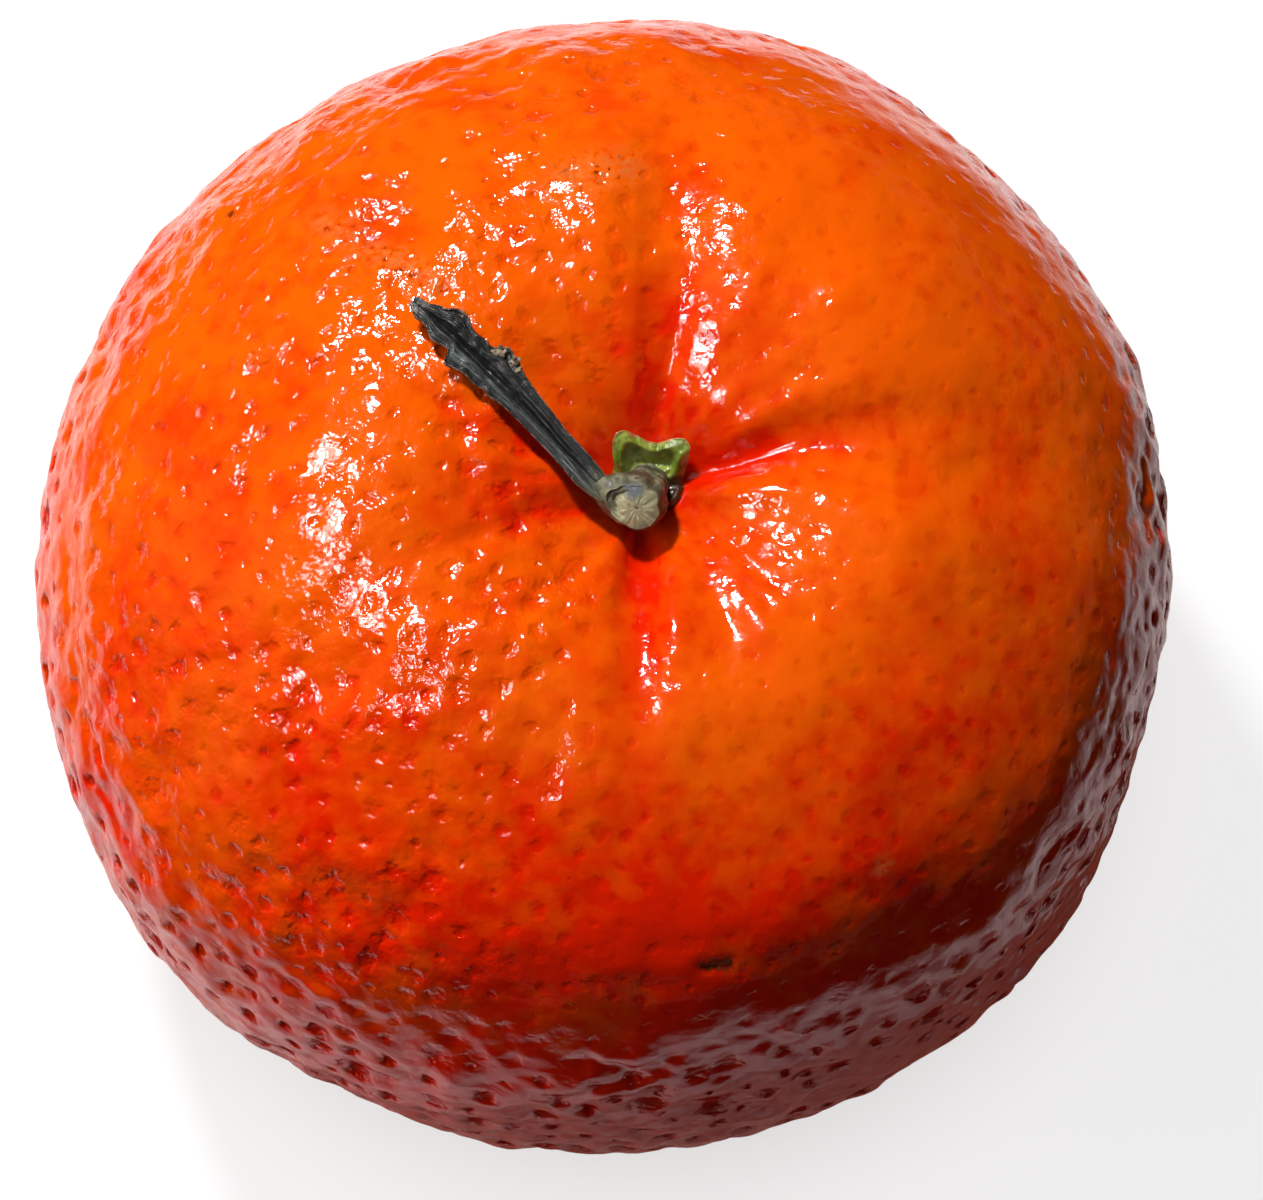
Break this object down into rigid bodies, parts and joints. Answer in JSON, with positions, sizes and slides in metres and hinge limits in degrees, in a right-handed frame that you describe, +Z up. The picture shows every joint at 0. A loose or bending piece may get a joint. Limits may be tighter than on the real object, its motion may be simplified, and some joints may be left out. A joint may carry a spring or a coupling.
{
  "type": "mandarin",
  "caption": "Ripe mandarin orange with pitted rind, green calyx, cut fruit stem and a dried winged leaf stalk.",
  "frame": {"origin": "middle of the resting flat, under the centre of the fruit's bounding box", "axes": "+Z up through the stem end; +X and +Y level; the leaf stalk points between -X and +Y"},
  "size_m": [0.0622, 0.0624, 0.0468],
  "materials": {
    "rind": "waxy, pitted",
    "calyx_green": "satin",
    "cut_stem": "matte",
    "dried_stalk": "satin, wrinkled"
  },
  "bodies": {
    "root": {"fruit": "rind", "calyx": "calyx_green", "stem_stub": "cut_stem", "leaf_stalk": "dried_stalk"}
  },
  "joints": []
}
